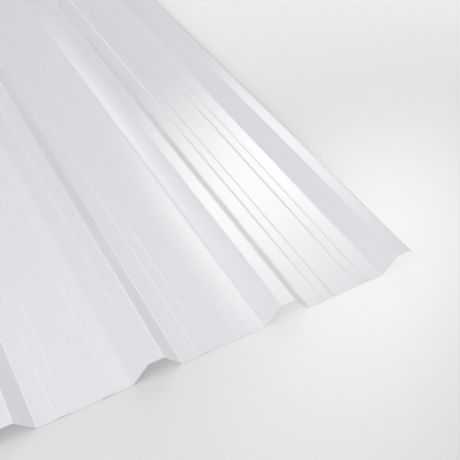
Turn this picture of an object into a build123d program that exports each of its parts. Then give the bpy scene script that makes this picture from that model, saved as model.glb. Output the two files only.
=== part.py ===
from build123d import *
import math
import os

# Ribbed steel sheet, roll-formed from one flat strip. Millimetres, +Z up.
# The sheet lies flat on its pans. Ribs run along Y, and the section is in XZ.
# Every corner below is a corner of the upper, painted face.

# Whole sheet
LENGTH = 1800.0
THICKNESS = 0.5
RIB_COUNT = 5
RIB_PITCH = 190.5

# Main rib: a trapezoid with a flat crest
RIB_HEIGHT = 29.2
RIB_BASE_WIDTH = 66.9
CREST_WIDTH = 21.9
FOOT_INSIDE_RADIUS = 4.0
CREST_INSIDE_RADIUS = 3.0

# Minor ribs: low stiffening flutes, two in each pan
MINOR_PER_PAN = 2
MINOR_SPACING = 57.2
MINOR_BASE_WIDTH = 18.9
MINOR_TOP_WIDTH = 14.1
MINOR_HEIGHT = 1.3
MINOR_INSIDE_RADIUS = 2.0

# Side edges: the right one laps over a neighbour, the left one goes under it
OVERLAP_LIP_LENGTH = 11.6
UNDERLAP_EDGE_CLEARANCE = 1.0

NODE = "roofing_sheet"

flank_angle = math.atan2(RIB_HEIGHT - THICKNESS, (RIB_BASE_WIDTH - CREST_WIDTH) / 2)
foot_radius = FOOT_INSIDE_RADIUS
crest_radius = CREST_INSIDE_RADIUS + THICKNESS
minor_foot_radius = MINOR_INSIDE_RADIUS
minor_top_radius = MINOR_INSIDE_RADIUS + THICKNESS


def minor_rib(centre):
    """Corners of one minor rib with their bend radii, left to right."""
    low = THICKNESS
    high = THICKNESS + MINOR_HEIGHT
    return [
        ((centre - MINOR_BASE_WIDTH / 2, low), minor_foot_radius),
        ((centre - MINOR_TOP_WIDTH / 2, high), minor_top_radius),
        ((centre + MINOR_TOP_WIDTH / 2, high), minor_top_radius),
        ((centre + MINOR_BASE_WIDTH / 2, low), minor_foot_radius),
    ]


def pan(left_rib, right_rib):
    """Corners of the flat pan between two rib centres: both rib feet and the minor ribs."""
    middle = (left_rib + right_rib) / 2
    corners = [((left_rib + RIB_BASE_WIDTH / 2, THICKNESS), foot_radius)]
    for number in range(MINOR_PER_PAN):
        offset_from_middle = (number - (MINOR_PER_PAN - 1) / 2) * MINOR_SPACING
        corners += minor_rib(middle + offset_from_middle)
    corners.append(((right_rib - RIB_BASE_WIDTH / 2, THICKNESS), foot_radius))
    return corners


def crest(rib):
    """Corners of a rib's flat crest."""
    return [
        ((rib - CREST_WIDTH / 2, RIB_HEIGHT), crest_radius),
        ((rib + CREST_WIDTH / 2, RIB_HEIGHT), crest_radius),
    ]


def underlap_edge(rib):
    """End of the full outer flank, which stops just above the plane of the pans."""
    height = UNDERLAP_EDGE_CLEARANCE + THICKNESS * math.cos(flank_angle)
    drop = RIB_HEIGHT - height
    return (rib - CREST_WIDTH / 2 - drop / math.tan(flank_angle), height)


def overlap_edge(rib):
    """End of the short outer lip, on the same slope as the other flanks."""
    run = OVERLAP_LIP_LENGTH * math.cos(flank_angle)
    drop = OVERLAP_LIP_LENGTH * math.sin(flank_angle)
    return (rib + CREST_WIDTH / 2 + run, RIB_HEIGHT - drop)


rib_centres = [number * RIB_PITCH for number in range(RIB_COUNT)]

bends = crest(rib_centres[0])
for left_rib, right_rib in zip(rib_centres, rib_centres[1:]):
    bends += pan(left_rib, right_rib)
    bends += crest(right_rib)

upper_corners = [underlap_edge(rib_centres[0])]
upper_corners += [corner for corner, radius in bends]
upper_corners.append(overlap_edge(rib_centres[-1]))
bend_radii = [radius for corner, radius in bends]

with BuildPart() as sheet:
    with BuildSketch(Plane.XZ):
        with BuildLine():
            upper_face = FilletPolyline(*upper_corners, radius=bend_radii)
            offset(upper_face, amount=THICKNESS, side=Side.RIGHT)
        make_face()
    extrude(amount=LENGTH / 2, both=True)

middle_x = sheet.part.bounding_box().center().X
roofing_sheet = sheet.part.translate((-middle_x, 0, 0))
roofing_sheet.label = NODE

os.makedirs("parts", exist_ok=True)
export_step(roofing_sheet, "parts/" + NODE + ".step")

print(f"{NODE}: {roofing_sheet.bounding_box().size}")
print(f"strip width before forming: {upper_face.length:.1f} mm")
print(f"cover width: {(RIB_COUNT - 1) * RIB_PITCH:.1f} mm")
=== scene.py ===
import math

import bpy
from mathutils import Matrix, Vector


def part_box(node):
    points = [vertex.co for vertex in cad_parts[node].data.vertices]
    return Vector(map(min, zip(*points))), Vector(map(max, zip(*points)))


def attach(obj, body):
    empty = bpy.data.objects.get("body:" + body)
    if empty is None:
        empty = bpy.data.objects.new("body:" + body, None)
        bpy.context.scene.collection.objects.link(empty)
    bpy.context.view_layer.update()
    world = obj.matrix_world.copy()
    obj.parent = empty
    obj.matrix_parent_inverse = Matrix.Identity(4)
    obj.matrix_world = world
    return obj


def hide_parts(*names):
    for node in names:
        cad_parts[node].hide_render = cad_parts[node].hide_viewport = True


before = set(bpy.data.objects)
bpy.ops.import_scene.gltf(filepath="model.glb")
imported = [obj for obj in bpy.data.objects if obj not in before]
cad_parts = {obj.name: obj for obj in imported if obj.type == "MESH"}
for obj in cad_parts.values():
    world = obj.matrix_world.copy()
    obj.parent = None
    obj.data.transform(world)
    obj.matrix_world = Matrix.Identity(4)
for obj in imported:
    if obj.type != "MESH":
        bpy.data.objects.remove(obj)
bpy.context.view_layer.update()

# Ribbed steel sheet. Metres, in the frame's axes: ribs along Y, section in XZ.
NODE = "roofing_sheet"
sheet_low, sheet_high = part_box(NODE)

# Formed section. Widths and heights are of the upper, painted face, and radii of the inside of a bend.
THICKNESS = 0.0005
RIB_COUNT = 5
RIB_PITCH = 0.1905
RIB_HEIGHT = sheet_high.z - sheet_low.z
RIB_BASE_WIDTH = 0.0669
CREST_WIDTH = 0.0219
FOOT_INSIDE_RADIUS = 0.004
CREST_INSIDE_RADIUS = 0.003
FLUTES_PER_PAN = 2
FLUTE_SPACING = 0.0572
FLUTE_BASE_WIDTH = 0.0189
FLUTE_TOP_WIDTH = 0.0141
FLUTE_HEIGHT = 0.0013
FLUTE_INSIDE_RADIUS = 0.002
OVERLAP_LIP_LENGTH = 0.0116
UNDERLAP_EDGE_CLEARANCE = 0.001

# How finely each bend is divided
RIB_BEND_STEPS = 12
FLUTE_BEND_STEPS = 6

flank_angle = math.atan2(RIB_HEIGHT - THICKNESS, (RIB_BASE_WIDTH - CREST_WIDTH) / 2)
overlap_rib_x = sheet_high.x - CREST_WIDTH / 2 - OVERLAP_LIP_LENGTH * math.cos(flank_angle)

# Material slots of the sheet's mesh
PAINT, BACKING, CUT = 0, 1, 2


def flute_corners(pan_middle):
    """Corners of the low flutes in one pan, as (x, z, inside radius of the bend, steps in it)."""
    corners = []
    low = THICKNESS
    high = THICKNESS + FLUTE_HEIGHT
    for number in range(FLUTES_PER_PAN):
        x = pan_middle + (number - (FLUTES_PER_PAN - 1) / 2) * FLUTE_SPACING
        for dx, z in (
            (-FLUTE_BASE_WIDTH / 2, low),
            (-FLUTE_TOP_WIDTH / 2, high),
            (FLUTE_TOP_WIDTH / 2, high),
            (FLUTE_BASE_WIDTH / 2, low),
        ):
            corners.append((x + dx, z, FLUTE_INSIDE_RADIUS, FLUTE_BEND_STEPS))
    return corners


def section_corners():
    """Corners of the upper face, as (x, z, inside radius of the bend, steps in it), left to right."""
    corners = []
    first_rib = -(RIB_COUNT - 1) / 2 * RIB_PITCH
    for rib in range(RIB_COUNT):
        x = first_rib + rib * RIB_PITCH
        if rib > 0:
            corners.append((x - RIB_BASE_WIDTH / 2, THICKNESS, FOOT_INSIDE_RADIUS, RIB_BEND_STEPS))
        corners.append((x - CREST_WIDTH / 2, RIB_HEIGHT, CREST_INSIDE_RADIUS, RIB_BEND_STEPS))
        corners.append((x + CREST_WIDTH / 2, RIB_HEIGHT, CREST_INSIDE_RADIUS, RIB_BEND_STEPS))
        if rib < RIB_COUNT - 1:
            corners.append((x + RIB_BASE_WIDTH / 2, THICKNESS, FOOT_INSIDE_RADIUS, RIB_BEND_STEPS))
            corners += flute_corners(x + RIB_PITCH / 2)
    return corners


def rounded(start, corners, end):
    """Points of a path with every corner bent to its radius, as (x, z, slope angle)."""
    path = [start] + [(x, z) for x, z, inside, steps in corners] + [end]
    angles = [math.atan2(b[1] - a[1], b[0] - a[0]) for a, b in zip(path, path[1:])]
    points = [(start[0], start[1], angles[0])]
    for (x, z, inside, steps), before, after in zip(corners, angles, angles[1:]):
        turn = after - before
        side = math.copysign(1, turn)
        radius = inside if turn > 0 else inside + THICKNESS
        tangent = radius * math.tan(abs(turn) / 2)
        centre_x = x - tangent * math.cos(before) - side * radius * math.sin(before)
        centre_z = z - tangent * math.sin(before) + side * radius * math.cos(before)
        for step in range(steps + 1):
            angle = before + turn * step / steps
            bend_x = centre_x + side * radius * math.sin(angle)
            bend_z = centre_z - side * radius * math.cos(angle)
            points.append((bend_x, bend_z, angle))
    points.append((end[0], end[1], angles[-1]))
    return points


def section_points():
    """The whole upper face, shifted so that its side edges meet the frame's box."""
    corners = section_corners()
    underlap_z = UNDERLAP_EDGE_CLEARANCE + THICKNESS * math.cos(flank_angle)
    underlap_x = corners[0][0] - (RIB_HEIGHT - underlap_z) / math.tan(flank_angle)
    overlap_x = corners[-1][0] + OVERLAP_LIP_LENGTH * math.cos(flank_angle)
    overlap_z = RIB_HEIGHT - OVERLAP_LIP_LENGTH * math.sin(flank_angle)
    points = rounded((underlap_x, underlap_z), corners, (overlap_x, overlap_z))
    shift = sheet_low.x - underlap_x
    return [(x + shift, z, angle) for x, z, angle in points]


def sheet_mesh():
    """The formed sheet: painted face, backing, two side edges and two cut ends."""
    points = section_points()
    count = len(points)
    normals = [Vector((-math.sin(angle), 0, math.cos(angle))) for x, z, angle in points]
    upper = [Vector((x, 0, z)) for x, z, angle in points]
    lower = [p - n * THICKNESS for p, n in zip(upper, normals)]
    near = Vector((0, sheet_low.y, 0))
    far = Vector((0, sheet_high.y, 0))
    vertices = [p + end for row in (upper, lower) for end in (near, far) for p in row]
    upper_near, upper_far, lower_near, lower_far = (count * row for row in range(4))
    faces = []
    corner_normals = []
    kinds = []

    def add(kind, face, normals_of_face):
        faces.append(face)
        corner_normals.extend(tuple(n) for n in normals_of_face)
        kinds.append(kind)

    front = Vector((0, -1, 0))
    back = Vector((0, 1, 0))
    for i in range(count - 1):
        j = i + 1
        a, b = normals[i], normals[j]
        add(PAINT, (upper_near + i, upper_near + j, upper_far + j, upper_far + i), (a, b, b, a))
        add(BACKING, (lower_near + i, lower_far + i, lower_far + j, lower_near + j), (-a, -a, -b, -b))
        add(CUT, (lower_near + i, lower_near + j, upper_near + j, upper_near + i), [front] * 4)
        add(CUT, (upper_far + i, upper_far + j, lower_far + j, lower_far + i), [back] * 4)
    last = count - 1
    left = Vector((-math.cos(points[0][2]), 0, -math.sin(points[0][2])))
    right = Vector((math.cos(points[-1][2]), 0, math.sin(points[-1][2])))
    add(CUT, (lower_near, upper_near, upper_far, lower_far), [left] * 4)
    add(CUT, (upper_near + last, lower_near + last, lower_far + last, upper_far + last), [right] * 4)

    mesh = bpy.data.meshes.new("ribbed_sheet")
    mesh.from_pydata(vertices, [], faces)
    mesh.polygons.foreach_set("use_smooth", [True] * len(faces))
    mesh.polygons.foreach_set("material_index", kinds)
    mesh.normals_split_custom_set(corner_normals)
    mesh.update()
    return mesh


# Depth of the fine relief in each material, and noise that is stretched along no axis
BUMP_DEPTH = 0.0001
UNSTRETCHED = (1.0, 1.0, 1.0)


class Shading:
    """A material's or lamp's node tree, with short calls for the nodes used here."""

    def __init__(self, owner):
        owner.use_nodes = True
        self.nodes = owner.node_tree.nodes
        self.links = owner.node_tree.links

    def put(self, socket, value):
        """Link a socket to a node's output, or set it to a plain value."""
        if isinstance(value, bpy.types.NodeSocket):
            self.links.new(value, socket)
        else:
            socket.default_value = value

    def node(self, kind, settings=None, **inputs):
        """Add a node with its settings and its inputs, which go by name."""
        node = self.nodes.new(kind)
        for name, value in (settings or {}).items():
            setattr(node, name, value)
        for name, value in inputs.items():
            self.put(node.inputs[name.replace("_", " ")], value)
        return node

    def math(self, operation, a, b=0.0):
        node = self.node("ShaderNodeMath", {"operation": operation})
        self.put(node.inputs[0], a)
        self.put(node.inputs[1], b)
        return node.outputs[0]

    def stretched(self, scale):
        """Coordinates of the object, scaled by axis."""
        coordinates = self.node("ShaderNodeTexCoord").outputs["Object"]
        mapping = self.node("ShaderNodeMapping", Vector=coordinates, Scale=scale)
        return mapping.outputs["Vector"]

    def noise(self, vector, scale, detail=2.0, roughness=0.5):
        return self.node(
            "ShaderNodeTexNoise", Vector=vector, Scale=scale, Detail=detail, Roughness=roughness
        ).outputs["Fac"]

    def between(self, factor, low, high, smooth=False, source=(0.0, 1.0)):
        """A value that goes from low to high while the factor crosses its source range."""
        kind = "SMOOTHSTEP" if smooth else "LINEAR"
        node = self.node("ShaderNodeMapRange", {"interpolation_type": kind}, Value=factor)
        self.put(node.inputs["From Min"], source[0])
        self.put(node.inputs["From Max"], source[1])
        self.put(node.inputs["To Min"], low)
        self.put(node.inputs["To Max"], high)
        return node.outputs["Result"]

    def mix(self, factor, a, b):
        node = self.node("ShaderNodeMix", {"data_type": "RGBA"})
        self.put(node.inputs["Factor"], factor)
        self.put(node.inputs["A"], a)
        self.put(node.inputs["B"], b)
        return node.outputs["Result"]

    def bump(self, height, strength):
        node = self.node("ShaderNodeBump", Height=height, Strength=strength, Distance=BUMP_DEPTH)
        return node.outputs["Normal"]


def new_material(name):
    """A material, the calls for its node tree, and its surface shader."""
    material = bpy.data.materials.new(name)
    shading = Shading(material)
    return material, shading, shading.nodes["Principled BSDF"]


# Paint: two close tones, mixed by streaks along the ribs and by wider clouds
PAINT_COLOUR = (0.809, 0.823, 0.854, 1)
PAINT_SHADE = (0.795, 0.810, 0.842, 1)
STREAK_STRETCH = (1.0, 0.04, 1.0)
STREAK_SCALE = 46.0
STREAK_DETAIL = 3.0
CLOUD_STRETCH = (1.0, 0.5, 1.0)
CLOUD_SCALE = 5.0
SHADE_RANGE = (0.12, 0.42)

# Its gloss, a little duller in the streaks, and the fine peel of its skin
GLOSS_TINT = (1.0, 0.944, 0.85, 1)
PAINT_IOR = 1.5
GLOSSIEST = 0.05
DULLEST = 0.07
DULL_RANGE = (0.3, 0.7)
PEEL_STRETCH = (1.0, 0.6, 1.0)
PEEL_SCALE = 420.0
PEEL_DETAIL = 1.0
PEEL_STRENGTH = 0.02

# Painted light: faces that lean right are painted paler, as light from the right, and the feet of the
# rib slopes as the reflection of the pans beside them. A face's lean is the X part of its normal. Bends
# and flute slopes lean less than rib slopes do. Upper bends and left-hand bends get less of this
# painted light than others, and rib slopes only at the foot, less towards the right.
PAINT_LIT_RIGHT_FACES = (0.867, 0.880, 0.904, 1)
BEND_LEAN_FROM = (0.05, 0.2)
BEND_LEAN_TO = (0.5, 0.65)
BEND_RISE = (0.3 * RIB_HEIGHT, 0.9 * RIB_HEIGHT)
UPPER_BEND_SHARE = 0.6
BEND_LEFT_TO_RIGHT = (-0.08, 0.05)
LEFT_BEND_SHARE = 0.4
SLOPE_LEAN = (0.6, 0.75)
SLOPE_FOOT = (0.1 * RIB_HEIGHT, 0.6 * RIB_HEIGHT)
SLOPE_LEFT_TO_RIGHT = (0.05, 0.2)
LEFT_SLOPE_SHARE = 0.75
RIGHT_SLOPE_SHARE = 0.35

# Painted shade: the crests a little darker
PAINT_CREST_SHADE = (0.786, 0.800, 0.832, 1)
CREST_TOP = (0.97 * RIB_HEIGHT, 0.99 * RIB_HEIGHT)

# Painted reflection: a pale line along the left slope of the second flute from the right: how its
# edge fades, and where it starts
PAINT_FLUTE_GLINT = (0.935, 0.95, 0.975, 1)
GLINT_X = overlap_rib_x - (RIB_PITCH + FLUTE_SPACING) / 2 - (FLUTE_BASE_WIDTH + FLUTE_TOP_WIDTH) / 4
GLINT_EDGE = (0.0008, 0.0015)
GLINT_START = (-0.5, -0.2)

# Painted shade: a thin dark line along the fold of the side lip
LIP_FOLD_SHADE = (0.40, 0.40, 0.415, 1)
LIP_FOLD_INSET = 0.0071
LIP_FOLD_WIDTH = 0.0019
LIP_FOLD_BLUR = 0.0002


def paint():
    """Coil-coated gloss paint: faint rolling streaks and the fine peel of a roller coat.

    Painted light and shade: the bends and flute slopes that lean right, and the feet of the rib slopes
    that lean right, are painted paler, as light from the right and the reflection of the pans. The
    crests are painted a little darker as shade, one flute slope has a pale line painted along it as a
    reflection, and the fold of the side lip has a thin dark line painted along it as shade.
    """
    material, shading, shader = new_material("gloss_white_paint")
    streaks = shading.noise(shading.stretched(STREAK_STRETCH), STREAK_SCALE, detail=STREAK_DETAIL)
    clouds = shading.noise(shading.stretched(CLOUD_STRETCH), CLOUD_SCALE)
    tone = shading.math("MULTIPLY", streaks, clouds)
    shade = shading.between(tone, 0.0, 1.0, source=SHADE_RANGE)
    colour = shading.mix(shade, PAINT_COLOUR, PAINT_SHADE)
    where = shading.node("ShaderNodeTexCoord").outputs
    lean = shading.node("ShaderNodeSeparateXYZ", Vector=where["Normal"]).outputs["X"]
    place = shading.node("ShaderNodeSeparateXYZ", Vector=where["Object"]).outputs
    # Painted light: right-leaning bends and flute slopes, and the feet of right-leaning rib slopes,
    # paler
    bend = shading.math(
        "MULTIPLY",
        shading.between(lean, 0.0, 1.0, True, BEND_LEAN_FROM),
        shading.between(lean, 1.0, 0.0, True, BEND_LEAN_TO),
    )
    upper_bend = shading.between(place["Z"], 1.0, UPPER_BEND_SHARE, True, BEND_RISE)
    bend = shading.math("MULTIPLY", bend, upper_bend)
    left_bend = shading.between(place["X"], LEFT_BEND_SHARE, 1.0, True, BEND_LEFT_TO_RIGHT)
    bend = shading.math("MULTIPLY", bend, left_bend)
    slope = shading.math(
        "MULTIPLY",
        shading.between(lean, 0.0, 1.0, True, SLOPE_LEAN),
        shading.between(place["X"], LEFT_SLOPE_SHARE, RIGHT_SLOPE_SHARE, True, SLOPE_LEFT_TO_RIGHT),
    )
    foot = shading.between(place["Z"], 1.0, 0.0, True, SLOPE_FOOT)
    lit_right_faces = shading.math("MAXIMUM", bend, shading.math("MULTIPLY", slope, foot))
    # Painted shade: the crests a little darker
    crest = shading.between(place["Z"], 0.0, 1.0, True, CREST_TOP)
    colour = shading.mix(crest, colour, PAINT_CREST_SHADE)
    colour = shading.mix(lit_right_faces, colour, PAINT_LIT_RIGHT_FACES)
    # Painted reflection: a pale line along one flute slope, from partway back
    off_glint = shading.math("ABSOLUTE", shading.math("SUBTRACT", place["X"], GLINT_X))
    glint = shading.math(
        "MULTIPLY",
        shading.between(off_glint, 1.0, 0.0, True, GLINT_EDGE),
        shading.between(place["Y"], 0.0, 1.0, True, GLINT_START),
    )
    colour = shading.mix(glint, colour, PAINT_FLUTE_GLINT)
    # Painted shade: a thin dark line along the fold of the side lip
    from_fold = shading.math("SUBTRACT", place["X"], sheet_high.x - LIP_FOLD_INSET)
    off_fold = shading.math("ABSOLUTE", from_fold)
    fold_edge = (LIP_FOLD_WIDTH / 2 - LIP_FOLD_BLUR, LIP_FOLD_WIDTH / 2)
    fold = shading.between(off_fold, 1.0, 0.0, source=fold_edge)
    shading.put(shader.inputs["Base Color"], shading.mix(fold, colour, LIP_FOLD_SHADE))
    dullness = shading.between(streaks, GLOSSIEST, DULLEST, source=DULL_RANGE)
    shading.put(shader.inputs["Roughness"], dullness)
    shader.inputs["IOR"].default_value = PAINT_IOR
    shader.inputs["Specular Tint"].default_value = GLOSS_TINT
    peel = shading.noise(shading.stretched(PEEL_STRETCH), PEEL_SCALE, detail=PEEL_DETAIL)
    shading.put(shader.inputs["Normal"], shading.bump(peel, PEEL_STRENGTH))
    return material


# Backing: two greys in a mottle that is longer along the ribs, and a fine grain
BACKING_COLOUR = (0.56, 0.57, 0.575, 1)
BACKING_SHADE = (0.50, 0.51, 0.52, 1)
MOTTLE_STRETCH = (1.0, 0.3, 1.0)
MOTTLE_SCALE = 60.0
MOTTLE_DETAIL = 5.0
MOTTLE_ROUGHNESS = 0.6
BLOTCH_RANGE = (0.35, 0.65)
BACKING_SMOOTHEST = 0.42
BACKING_ROUGHEST = 0.58
GRAIN_SCALE = 900.0
GRAIN_STRENGTH = 0.15


def backing_coat():
    """Thin matt wash coat on the underside, with a mottle along the ribs and a fine grain."""
    material, shading, shader = new_material("grey_backing_coat")
    stretched = shading.stretched(MOTTLE_STRETCH)
    mottle = shading.noise(stretched, MOTTLE_SCALE, MOTTLE_DETAIL, MOTTLE_ROUGHNESS)
    blotches = shading.between(mottle, 0.0, 1.0, source=BLOTCH_RANGE)
    colour = shading.mix(blotches, BACKING_COLOUR, BACKING_SHADE)
    shading.put(shader.inputs["Base Color"], colour)
    roughness = shading.between(mottle, BACKING_SMOOTHEST, BACKING_ROUGHEST)
    shading.put(shader.inputs["Roughness"], roughness)
    grain = shading.noise(shading.stretched(UNSTRETCHED), GRAIN_SCALE)
    shading.put(shader.inputs["Normal"], shading.bump(grain, GRAIN_STRENGTH))
    return material


# Sheared edge: zinc and steel in one fine burr
ZINC_COLOUR = (0.62, 0.63, 0.65, 1)
STEEL_COLOUR = (0.50, 0.50, 0.51, 1)
BURR_SCALE = 1400.0
BURR_DETAIL = 3.0
BURR_STRENGTH = 0.3
EDGE_SMOOTHEST = 0.35
EDGE_ROUGHEST = 0.55


def cut_edge():
    """Sheared edge: steel core smeared with the zinc of its skins, with the fine burr of the shear."""
    material, shading, shader = new_material("sheared_zinc_edge")
    burr = shading.noise(shading.stretched(UNSTRETCHED), BURR_SCALE, detail=BURR_DETAIL)
    shading.put(shader.inputs["Base Color"], shading.mix(burr, ZINC_COLOUR, STEEL_COLOUR))
    shader.inputs["Metallic"].default_value = 1.0
    shading.put(shader.inputs["Roughness"], shading.between(burr, EDGE_SMOOTHEST, EDGE_ROUGHEST))
    shading.put(shader.inputs["Normal"], shading.bump(burr, BURR_STRENGTH))
    return material


def add_object(name, data):
    """Put a mesh, lamp or camera into the scene."""
    thing = bpy.data.objects.new(name, data)
    bpy.context.scene.collection.objects.link(thing)
    return thing


sheet = add_object("ribbed_sheet", sheet_mesh())
for material in (paint(), backing_coat(), cut_edge()):
    sheet.data.materials.append(material)
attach(sheet, "root")
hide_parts(NODE)

# Studio: pale floor just under the sheet, which turns into a pale backdrop between two distances
WHITE = (1, 1, 1, 1)
BACKDROP = 0.82
FLOOR_HALF = 30.0
FLOOR_GAP = 0.0002
FLOOR_ROUGHNESS = 0.6
BACKDROP_START = (1.08, 1.55)

# Floor tones, which paint light and shade onto the floor: darker at the front, palest beside the sheet
# and darker again behind it, from the front to behind the sheet along one heading
FLOOR_NEAR = (0.648, 0.648, 0.648, 1)
FLOOR_BACK = (0.985, 0.985, 0.985, 1)
FLOOR_BEHIND = (0.72, 0.72, 0.72, 1)
FLOOR_HEADING = (0.3, 1.0, 0.0)
NEAR_TO_BACK = (-0.9, 0.2)
BACK_TO_BEHIND = (0.35, 0.8)

# Floor glow: an oval pool at the front right. The fades are the glow's share in the middle of the pool,
# and past its reach in front and at the back.
POOL_CENTRE = (0.38, -0.848, 0.0)
POOL_HEADING = math.radians(38.3)
POOL_HALF_LENGTH = 0.315
POOL_HALF_WIDTH = 0.172
POOL_REACH = (0.0, 1.7)
POOL_FADE = 0.82
FRONT_FADE = 0.3
BACK_FADE = 0.03


def backdrop_rays(shading):
    """1 for rays that show the backdrop as it looks to the eye, 0 for those that carry its light."""
    path = shading.node("ShaderNodeLightPath").outputs
    seen = shading.math("MAXIMUM", path["Is Camera Ray"], path["Is Glossy Ray"])
    return shading.math("MAXIMUM", seen, path["Is Transmission Ray"])


def floor_material():
    """Matt floor, its tone painted with light and shade: palest beside the sheet.

    To the eye it glows: most in the pool, softly over the whole front, and fully further out, where it
    is as bright as the backdrop.
    """
    material, shading, shader = new_material("pale_floor")
    where = shading.node("ShaderNodeTexCoord").outputs["Object"]
    backward = shading.node("ShaderNodeVectorMath", {"operation": "DOT_PRODUCT"}, Vector=where)
    backward.inputs[1].default_value = FLOOR_HEADING
    tone = shading.between(backward.outputs["Value"], 0.0, 1.0, True, NEAR_TO_BACK)
    behind = shading.between(backward.outputs["Value"], 0.0, 1.0, True, BACK_TO_BEHIND)
    colour = shading.mix(behind, shading.mix(tone, FLOOR_NEAR, FLOOR_BACK), FLOOR_BEHIND)
    pool = shading.node(
        "ShaderNodeMapping",
        {"vector_type": "TEXTURE"},
        Vector=where,
        Location=POOL_CENTRE,
        Rotation=(0, 0, POOL_HEADING),
        Scale=(POOL_HALF_LENGTH, POOL_HALF_WIDTH, 1.0),
    ).outputs["Vector"]
    pool_distance = shading.node("ShaderNodeVectorMath", {"operation": "LENGTH"}, Vector=pool)
    past_pool = shading.between(tone, FRONT_FADE, BACK_FADE)
    near = shading.between(pool_distance.outputs["Value"], POOL_FADE, past_pool, True, POOL_REACH)
    shading.put(shader.inputs["Base Color"], colour)
    shader.inputs["Roughness"].default_value = FLOOR_ROUGHNESS
    distance = shading.node("ShaderNodeVectorMath", {"operation": "LENGTH"}, Vector=where)
    far = shading.between(distance.outputs["Value"], 0.0, 1.0, True, BACKDROP_START)
    fade = shading.math("MULTIPLY", shading.math("MAXIMUM", near, far), backdrop_rays(shading))
    glow = shading.node("ShaderNodeEmission", Strength=shading.between(far, 1.0, BACKDROP))
    mix = shading.node("ShaderNodeMixShader", Fac=fade)
    shading.links.new(shader.outputs[0], mix.inputs[1])
    shading.links.new(glow.outputs[0], mix.inputs[2])
    shading.links.new(mix.outputs[0], shading.nodes["Material Output"].inputs["Surface"])
    return material


def floor():
    """Wide square floor, a hair below the sheet so that their faces don't coincide."""
    mesh = bpy.data.meshes.new("floor")
    corners = [(-1, -1), (1, -1), (1, 1), (-1, 1)]
    floor_z = sheet_low.z - FLOOR_GAP
    vertices = [(x * FLOOR_HALF, y * FLOOR_HALF, floor_z) for x, y in corners]
    mesh.from_pydata(vertices, [], [(0, 1, 2, 3)])
    mesh.materials.append(floor_material())
    add_object("floor", mesh)


floor()

# Light from all around, which is dimmer than the backdrop looks
WORLD_LIGHT = 0.183

world = bpy.data.worlds.new("studio")
bpy.context.scene.world = world
world_shading = Shading(world)
world_strength = world_shading.between(backdrop_rays(world_shading), WORLD_LIGHT, BACKDROP)
world_background = world_shading.nodes["Background"]
world_background.inputs["Color"].default_value = WHITE
world_shading.put(world_background.inputs["Strength"], world_strength)


def soft_box(name, place, aim, width, height, radiance, fade_width=0.0, fade_z=None):
    """Rectangular lamp, turned to face its aim.

    Its left and right sides can fade over a share of its width, and its top between two heights.
    """
    data = bpy.data.lights.new(name, "AREA")
    data.shape = "RECTANGLE"
    data.size = width
    data.size_y = height
    data.energy = math.pi * width * height * radiance
    lamp = add_object(name, data)
    lamp.location = place
    lamp.rotation_euler = (Vector(aim) - Vector(place)).to_track_quat("-Z", "Y").to_euler()
    shading = Shading(data)
    geometry = shading.node("ShaderNodeNewGeometry").outputs
    level = 1.0
    if fade_width > 0:
        face = shading.node("ShaderNodeSeparateXYZ", Vector=geometry["Parametric"])
        middle = 0.5
        from_side = shading.math("PINGPONG", face.outputs["X"], middle)
        level = shading.between(from_side, 0.0, 1.0, True, (0.0, fade_width))
    if fade_z is not None:
        point = shading.node("ShaderNodeSeparateXYZ", Vector=geometry["Position"])
        top = shading.between(point.outputs["Z"], 1.0, 0.0, True, fade_z)
        level = shading.math("MULTIPLY", top, level)
    shading.put(shading.nodes["Emission"].inputs["Strength"], level)
    return lamp


# Overhead soft box that the flats mirror. Its face hangs level, and its bright patch is a
# parallelogram with two sides along the ribs that fades out towards all four sides.
KEY_HEIGHT = 1.9
KEY_RADIANCE = 5.0
KEY_MIDDLE_X = 1.42
KEY_MIDDLE_Y = 1.214
KEY_LEFT = 0.64
KEY_RIGHT = 0.85
KEY_NEAR = 1.25
KEY_FAR = 1.34
KEY_SKEW = 0.539
KEY_FADE_LEFT = 0.36
KEY_FADE_RIGHT = 0.71
KEY_FADE_NEAR = 1.23
KEY_FADE_FAR = 1.32


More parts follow.
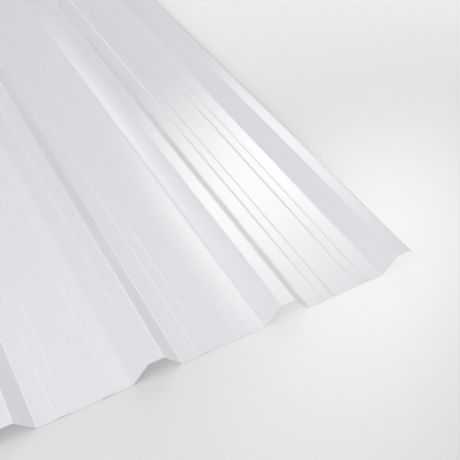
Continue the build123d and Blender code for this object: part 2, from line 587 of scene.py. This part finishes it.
def key_box():
    """The overhead soft box. Its rectangle is just large enough to hold the bright patch."""
    low_x = KEY_MIDDLE_X - KEY_LEFT
    high_x = KEY_MIDDLE_X + KEY_RIGHT
    low_y = KEY_MIDDLE_Y - KEY_NEAR - KEY_SKEW * KEY_LEFT
    high_y = KEY_MIDDLE_Y + KEY_FAR + KEY_SKEW * KEY_RIGHT
    place = ((low_x + high_x) / 2, (low_y + high_y) / 2, KEY_HEIGHT)
    below = (place[0], place[1], 0.0)
    lamp = soft_box("key_overhead", place, below, high_x - low_x, high_y - low_y, KEY_RADIANCE)
    shading = Shading(lamp.data)
    position = shading.node("ShaderNodeNewGeometry").outputs["Position"]
    point = shading.node("ShaderNodeSeparateXYZ", Vector=position)
    across = shading.math("SUBTRACT", point.outputs["X"], KEY_MIDDLE_X)
    along = shading.math("SUBTRACT", point.outputs["Y"], KEY_MIDDLE_Y)
    along = shading.math("SUBTRACT", along, shading.math("MULTIPLY", across, KEY_SKEW))
    level = 1.0
    for distance, start, end in (
        (across, -KEY_LEFT, KEY_FADE_LEFT - KEY_LEFT),
        (across, KEY_RIGHT, KEY_RIGHT - KEY_FADE_RIGHT),
        (along, -KEY_NEAR, KEY_FADE_NEAR - KEY_NEAR),
        (along, KEY_FAR, KEY_FAR - KEY_FADE_FAR),
    ):
        low, high = sorted((start, end))
        first, last = (0.0, 1.0) if start < end else (1.0, 0.0)
        side = shading.between(distance, first, last, True, (low, high))
        level = shading.math("MULTIPLY", side, level)
    shading.put(shading.nodes["Emission"].inputs["Strength"], level)


key_box()
soft_box(
    "strip_left", place=(-1.5, 1.55, 0.2), aim=(0.0, 1.55, 0.2),
    width=4.0, height=0.4, radiance=3.15, fade_width=0.5, fade_z=(0.26, 0.4))
soft_box(
    "fill_left", place=(-2.4, -0.4, 1.6), aim=(0, -0.4, 0),
    width=1.4, height=1.4, radiance=1.79)
soft_box(
    "top_front_left", place=(-1.0, -1.2, 2.0), aim=(0, -0.7, 0),
    width=1.4, height=1.4, radiance=4.05)
soft_box(
    "fill_front", place=(0.25, -3.2, 1.3), aim=(0.1, -0.4, 0),
    width=3.0, height=1.2, radiance=3.65, fade_width=0.3)
soft_box(
    "fill_right", place=(3.0, 0.8, 0.45), aim=(0.3, 0.2, 0),
    width=3.0, height=0.52, radiance=5.7, fade_width=0.3)
soft_box(
    "back_right", place=(3.6, 2.4, 2.2), aim=(0, -0.4, 0),
    width=1.6, height=1.6, radiance=1.2)

# Camera, as the photograph was taken: headings from +Y towards +X, tilt downwards
CAMERA_PLACE = Vector((-0.1737, -1.4196, 0.7710))
CAMERA_HEADING = math.radians(28.687)
CAMERA_TILT = math.radians(43.819)
CAMERA_ROLL = math.radians(-0.222)
CAMERA_LENS = 57.998
SENSOR_WIDTH = 36.0

camera_data = bpy.data.cameras.new("camera")
camera_data.lens = CAMERA_LENS
camera_data.sensor_width = SENSOR_WIDTH
camera = add_object("camera", camera_data)
turn = Matrix.Rotation(-CAMERA_HEADING, 3, "Z") @ Matrix.Rotation(math.pi / 2 - CAMERA_TILT, 3, "X")
camera.rotation_euler = (turn @ Matrix.Rotation(CAMERA_ROLL, 3, "Z")).to_euler()
camera.location = CAMERA_PLACE
bpy.context.scene.camera = camera
bpy.context.scene.view_settings.view_transform = "Standard"
